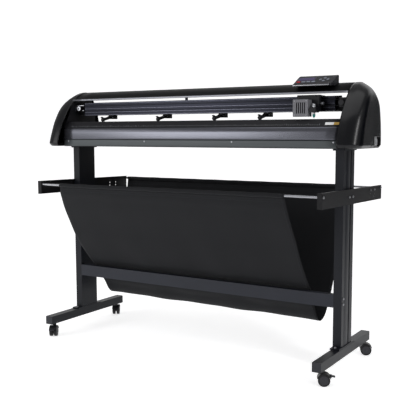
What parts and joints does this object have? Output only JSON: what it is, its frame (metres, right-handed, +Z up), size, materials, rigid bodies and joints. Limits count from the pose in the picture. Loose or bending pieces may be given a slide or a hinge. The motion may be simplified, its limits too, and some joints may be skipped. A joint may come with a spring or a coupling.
{
  "type": "vinyl cutter",
  "caption": "Roll-fed vinyl cutting plotter with a travelling knife carriage, pinch rollers, domed end caps and a fabric catch bin on a caster stand.",
  "frame": {"origin": "on the floor under the middle of the machine's overall box", "axes": "+X along the machine towards the control panel end, +Y towards the back, +Z up"},
  "size_m": [1.676, 0.7, 1.264],
  "materials": {
    "black_powder_coat": "satin, fine texture",
    "foot_cap_plastic": "matte",
    "bolt_steel": "satin",
    "rod_chrome": "polished",
    "bin_cloth": "matte woven",
    "apron_metal": "satin metallic",
    "inner_sheet": "satin",
    "bed_black": "fine matte",
    "rail_anodised": "dark anodised",
    "cover_black": "satin",
    "cap_gloss": "gloss",
    "panel_plastic": "satin",
    "belt_rubber": "matte",
    "motor_black": "satin",
    "board_green": "satin",
    "inlet_plate": "satin",
    "switch_red": "gloss",
    "shaft_steel": "knurled",
    "carriage_black": "satin",
    "tool_aluminium": "satin",
    "pinch_black": "satin",
    "pinch_rubber": "matte",
    "caster_plastic": "satin",
    "caster_tyre": "matte",
    "key_red": "satin",
    "key_grey": "satin",
    "arrow_grey": "satin"
  },
  "bodies": {
    "frame": {"feet": "black_powder_coat", "foot_end_caps": "foot_cap_plastic", "left_leg": "black_powder_coat", "right_leg": "black_powder_coat", "leg_plates": "black_powder_coat", "cross_beam": "black_powder_coat", "stand_bolts": "bolt_steel", "bin_arms": "black_powder_coat", "bin_rods": "rod_chrome", "bin_fabric": "bin_cloth", "front_apron": "apron_metal", "base_pan": "inner_sheet", "bed": "bed_black", "rail_beam": "rail_anodised", "pinch_bar": "rod_chrome", "top_cover": "cover_black", "left_end_cap": "cap_gloss", "right_end_cap": "cap_gloss", "side_plates": "inner_sheet", "control_panel": "panel_plastic", "carriage_belt": "belt_rubber", "stepper_motors": "motor_black", "electronics": "board_green", "power_inlet": "inlet_plate"},
    "carriage": {"carriage": "carriage_black"},
    "tool_holder": {"tool_holder": "tool_aluminium"},
    "clamp_knob": {"clamp_knob": "tool_aluminium"},
    "grit_shaft": {"grit_shaft": "shaft_steel"},
    "idler_pulley": {"idler_pulley": "tool_aluminium"},
    "power_switch": {"power_switch": "switch_red"},
    "pinch_carrier_1": {"pinch_carrier_1": "pinch_black"},
    "pinch_arm_1": {"pinch_arm_1": "pinch_black"},
    "pinch_wheel_1": {"pinch_wheel_1": "pinch_rubber"},
    "pinch_carrier_2": {"pinch_carrier_2": "pinch_black"},
    "pinch_arm_2": {"pinch_arm_2": "pinch_black"},
    "pinch_wheel_2": {"pinch_wheel_2": "pinch_rubber"},
    "pinch_carrier_3": {"pinch_carrier_3": "pinch_black"},
    "pinch_arm_3": {"pinch_arm_3": "pinch_black"},
    "pinch_wheel_3": {"pinch_wheel_3": "pinch_rubber"},
    "pinch_carrier_4": {"pinch_carrier_4": "pinch_black"},
    "pinch_arm_4": {"pinch_arm_4": "pinch_black"},
    "pinch_wheel_4": {"pinch_wheel_4": "pinch_rubber"},
    "caster_fork_1": {"caster_fork_1": "caster_plastic"},
    "caster_wheels_1": {"caster_wheels_1": "caster_tyre"},
    "caster_brake_1": {"caster_brake_1": "caster_plastic"},
    "caster_fork_2": {"caster_fork_2": "caster_plastic"},
    "caster_wheels_2": {"caster_wheels_2": "caster_tyre"},
    "caster_fork_3": {"caster_fork_3": "caster_plastic"},
    "caster_wheels_3": {"caster_wheels_3": "caster_tyre"},
    "caster_brake_2": {"caster_brake_2": "caster_plastic"},
    "caster_fork_4": {"caster_fork_4": "caster_plastic"},
    "caster_wheels_4": {"caster_wheels_4": "caster_tyre"},
    "power_key": {"power_key": "key_red"},
    "function_key_1": {"function_key_1": "key_grey"},
    "function_key_2": {"function_key_2": "key_grey"},
    "function_key_3": {"function_key_3": "key_grey"},
    "up_key": {"up_key": "arrow_grey"},
    "down_key": {"down_key": "arrow_grey"},
    "left_key": {"left_key": "arrow_grey"},
    "right_key": {"right_key": "arrow_grey"}
  },
  "joints": [
    {"name": "carriage_slide", "type": "slide", "parent": "frame", "child": "carriage", "axis": [1, 0, 0], "range_m": [-1.158, 0.052]},
    {"name": "tool_lift", "type": "slide", "parent": "carriage", "child": "tool_holder", "axis": [0, 0, 1], "range_m": [-0.002, 0.002]},
    {"name": "clamp_knob_turn", "type": "hinge", "parent": "carriage", "child": "clamp_knob", "pos_m": [0.628, -0.096, 1.141], "axis": [1, 0, 0], "range_deg": [-180, 180]},
    {"name": "grit_spin", "type": "hinge", "parent": "frame", "child": "grit_shaft", "pos_m": [0, -0.09, 1.0684], "axis": [1, 0, 0], "continuous": true},
    {"name": "idler_spin", "type": "hinge", "parent": "frame", "child": "idler_pulley", "pos_m": [-0.715, -0.078, 1.145], "axis": [0, 1, 0], "continuous": true},
    {"name": "power_switch_tip", "type": "hinge", "parent": "frame", "child": "power_switch", "pos_m": [0.8238, 0.044, 0.981], "axis": [0, 1, 0], "range_deg": [-7, 7]},
    {"name": "pinch_slide_1", "type": "slide", "parent": "frame", "child": "pinch_carrier_1", "axis": [1, 0, 0], "range_m": [-0.08, 0.08]},
    {"name": "pinch_lift_1", "type": "hinge", "parent": "pinch_carrier_1", "child": "pinch_arm_1", "pos_m": [-0.548, -0.034, 1.099], "axis": [-1, 0, 0], "range_deg": [0, 10]},
    {"name": "pinch_spin_1", "type": "hinge", "parent": "pinch_arm_1", "child": "pinch_wheel_1", "pos_m": [-0.548, -0.09, 1.0868], "axis": [1, 0, 0], "continuous": true},
    {"name": "pinch_slide_2", "type": "slide", "parent": "frame", "child": "pinch_carrier_2", "axis": [1, 0, 0], "range_m": [-0.08, 0.08]},
    {"name": "pinch_lift_2", "type": "hinge", "parent": "pinch_carrier_2", "child": "pinch_arm_2", "pos_m": [-0.208, -0.034, 1.099], "axis": [-1, 0, 0], "range_deg": [0, 10]},
    {"name": "pinch_spin_2", "type": "hinge", "parent": "pinch_arm_2", "child": "pinch_wheel_2", "pos_m": [-0.208, -0.09, 1.0868], "axis": [1, 0, 0], "continuous": true},
    {"name": "pinch_slide_3", "type": "slide", "parent": "frame", "child": "pinch_carrier_3", "axis": [1, 0, 0], "range_m": [-0.08, 0.08]},
    {"name": "pinch_lift_3", "type": "hinge", "parent": "pinch_carrier_3", "child": "pinch_arm_3", "pos_m": [0.107, -0.034, 1.099], "axis": [-1, 0, 0], "range_deg": [0, 10]},
    {"name": "pinch_spin_3", "type": "hinge", "parent": "pinch_arm_3", "child": "pinch_wheel_3", "pos_m": [0.107, -0.09, 1.0868], "axis": [1, 0, 0], "continuous": true},
    {"name": "pinch_slide_4", "type": "slide", "parent": "frame", "child": "pinch_carrier_4", "axis": [1, 0, 0], "range_m": [-0.08, 0.08]},
    {"name": "pinch_lift_4", "type": "hinge", "parent": "pinch_carrier_4", "child": "pinch_arm_4", "pos_m": [0.342, -0.034, 1.099], "axis": [-1, 0, 0], "range_deg": [0, 10]},
    {"name": "pinch_spin_4", "type": "hinge", "parent": "pinch_arm_4", "child": "pinch_wheel_4", "pos_m": [0.342, -0.09, 1.0868], "axis": [1, 0, 0], "continuous": true},
    {"name": "caster_swivel_1", "type": "hinge", "parent": "frame", "child": "caster_fork_1", "pos_m": [-0.725, -0.286, 0.058], "axis": [0, 0, 1], "continuous": true},
    {"name": "caster_spin_1", "type": "hinge", "parent": "caster_fork_1", "child": "caster_wheels_1", "pos_m": [-0.717, -0.29986, 0.025], "axis": [0.866, 0.5, 0], "continuous": true},
    {"name": "caster_brake_press_1", "type": "hinge", "parent": "caster_fork_1", "child": "caster_brake_1", "pos_m": [-0.7025, -0.32497, 0.041], "axis": [0.866, 0.5, 0], "range_deg": [0, 16]},
    {"name": "caster_swivel_2", "type": "hinge", "parent": "frame", "child": "caster_fork_2", "pos_m": [-0.725, 0.206, 0.058], "axis": [0, 0, 1], "continuous": true},
    {"name": "caster_spin_2", "type": "hinge", "parent": "caster_fork_2", "child": "caster_wheels_2", "pos_m": [-0.733, 0.21986, 0.025], "axis": [-0.866, -0.5, 0], "continuous": true},
    {"name": "caster_swivel_3", "type": "hinge", "parent": "frame", "child": "caster_fork_3", "pos_m": [0.725, -0.286, 0.058], "axis": [0, 0, 1], "continuous": true},
    {"name": "caster_spin_3", "type": "hinge", "parent": "caster_fork_3", "child": "caster_wheels_3", "pos_m": [0.7395, -0.27924, 0.025], "axis": [-0.4226, 0.9063, 0], "continuous": true},
    {"name": "caster_brake_press_2", "type": "hinge", "parent": "caster_fork_3", "child": "caster_brake_2", "pos_m": [0.76578, -0.26698, 0.041], "axis": [-0.4226, 0.9063, 0], "range_deg": [0, 16]},
    {"name": "caster_swivel_4", "type": "hinge", "parent": "frame", "child": "caster_fork_4", "pos_m": [0.725, 0.206, 0.058], "axis": [0, 0, 1], "continuous": true},
    {"name": "caster_spin_4", "type": "hinge", "parent": "caster_fork_4", "child": "caster_wheels_4", "pos_m": [0.7395, 0.21276, 0.025], "axis": [-0.4226, 0.9063, 0], "continuous": true},
    {"name": "power_key_press", "type": "slide", "parent": "frame", "child": "power_key", "axis": [0, -0.4824, 0.876], "range_m": [-0.001, 0], "stiffness_N_per_m": 300},
    {"name": "function_key_1_press", "type": "slide", "parent": "frame", "child": "function_key_1", "axis": [0, -0.4824, 0.876], "range_m": [-0.001, 0], "stiffness_N_per_m": 300},
    {"name": "function_key_2_press", "type": "slide", "parent": "frame", "child": "function_key_2", "axis": [0, -0.4824, 0.876], "range_m": [-0.001, 0], "stiffness_N_per_m": 300},
    {"name": "function_key_3_press", "type": "slide", "parent": "frame", "child": "function_key_3", "axis": [0, -0.4824, 0.876], "range_m": [-0.001, 0], "stiffness_N_per_m": 300},
    {"name": "up_key_press", "type": "slide", "parent": "frame", "child": "up_key", "axis": [0, -0.4824, 0.876], "range_m": [-0.001, 0], "stiffness_N_per_m": 300},
    {"name": "down_key_press", "type": "slide", "parent": "frame", "child": "down_key", "axis": [0, -0.4824, 0.876], "range_m": [-0.001, 0], "stiffness_N_per_m": 300},
    {"name": "left_key_press", "type": "slide", "parent": "frame", "child": "left_key", "axis": [0, -0.4824, 0.876], "range_m": [-0.001, 0], "stiffness_N_per_m": 300},
    {"name": "right_key_press", "type": "slide", "parent": "frame", "child": "right_key", "axis": [0, -0.4824, 0.876], "range_m": [-0.001, 0], "stiffness_N_per_m": 300}
  ],
  "couplings": [
    {"joint": "idler_spin", "follows": "carriage_slide", "rad_per_m": 83.333},
    {"joint": "pinch_spin_1", "follows": "grit_spin", "ratio": -1},
    {"joint": "pinch_spin_2", "follows": "grit_spin", "ratio": -1},
    {"joint": "pinch_spin_3", "follows": "grit_spin", "ratio": -1},
    {"joint": "pinch_spin_4", "follows": "grit_spin", "ratio": -1}
  ]
}
